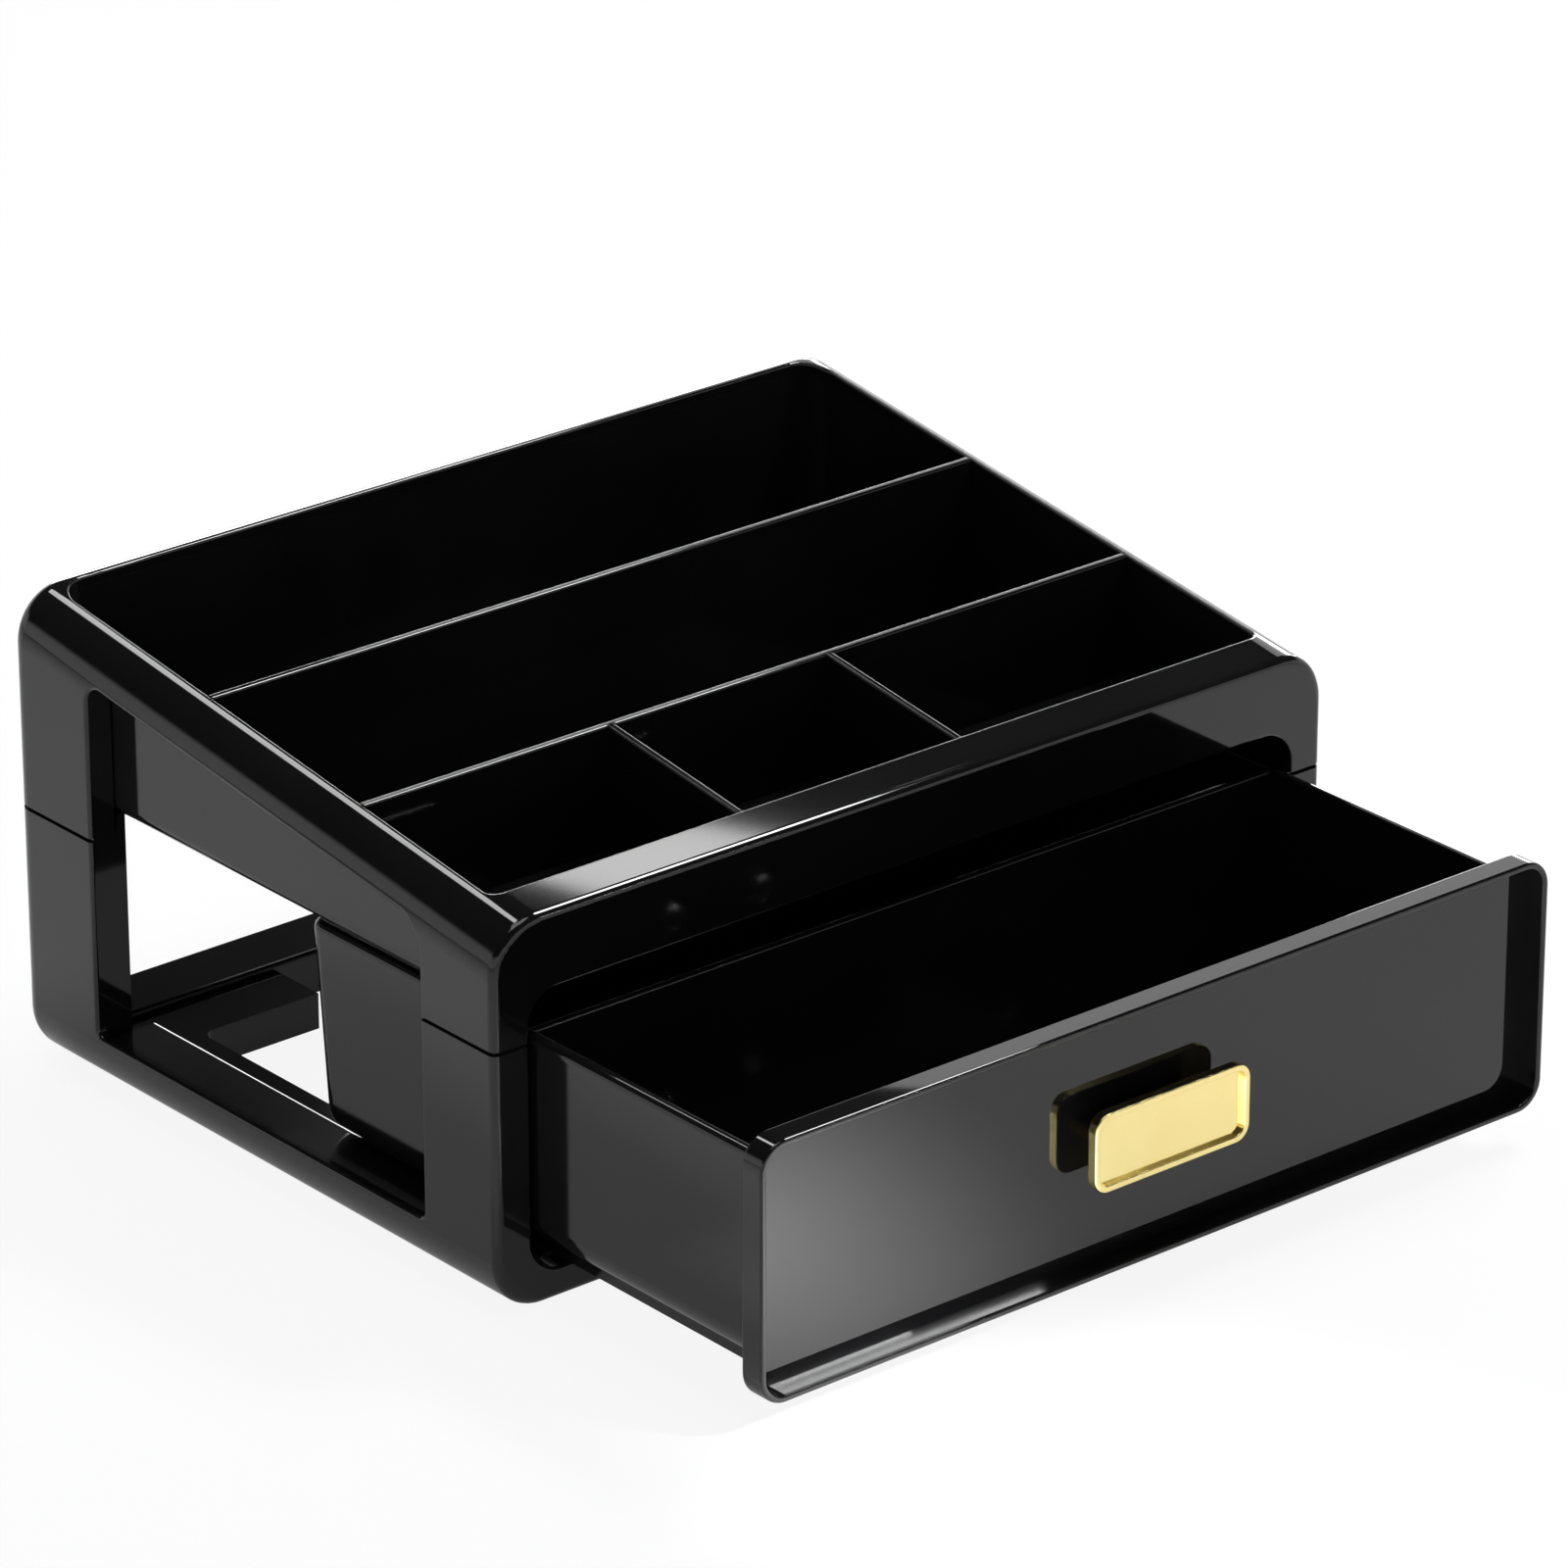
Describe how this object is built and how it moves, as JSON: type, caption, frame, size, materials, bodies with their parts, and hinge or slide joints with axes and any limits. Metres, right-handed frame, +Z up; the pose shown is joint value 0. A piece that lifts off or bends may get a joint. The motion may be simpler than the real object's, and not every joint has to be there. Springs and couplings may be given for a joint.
{
  "type": "perfume organizer",
  "caption": "Sloped open tray with divided compartments for bottles, on an open-sided base frame with one wide pull-out drawer and a plate handle.",
  "frame": {"origin": "on the surface it stands on, at the middle of its footprint with the drawer pulled out as pictured", "axes": "+X to the right seen from the drawer side, +Y from the drawer to the back, +Z up"},
  "size_m": [0.3, 0.3208, 0.1449],
  "materials": {
    "deck": "glossy black moulding, soft bright edges",
    "base": "glossy black moulding, soft bright edges",
    "tray": "glossy black moulding",
    "divider": "glossy black sheet",
    "tub": "satin to glossy black moulding",
    "fascia": "mirror-glossy black panel",
    "rail": "matte black slide strip",
    "handle": "polished pale gold plating",
    "screw": "zinc-plated steel",
    "foot": "matte black rubber"
  },
  "bodies": {
    "organizer": {"upper_deck": "deck", "base_frame": "base", "compartment_tray": "tray", "tray_divider_front": "divider", "tray_divider_rear": "divider", "tray_divider_left": "divider", "tray_divider_middle": "divider", "guide_rail_left": "rail", "guide_rail_right": "rail", "rubber_foot_front_left": "foot", "rubber_foot_front_right": "foot", "rubber_foot_rear_left": "foot", "rubber_foot_rear_right": "foot", "leg_screws": "screw"},
    "drawer": {"drawer_tub": "tub", "drawer_divider": "divider", "drawer_fascia": "fascia", "fascia_screws": "screw", "handle_plate": "handle", "handle_posts": "handle", "handle_washers": "screw", "handle_screws": "screw"}
  },
  "joints": [
    {"name": "drawer_slide", "type": "slide", "parent": "organizer", "child": "drawer", "axis": [0, -1, 0], "range_m": [-0.0918, 0.0587]}
  ]
}
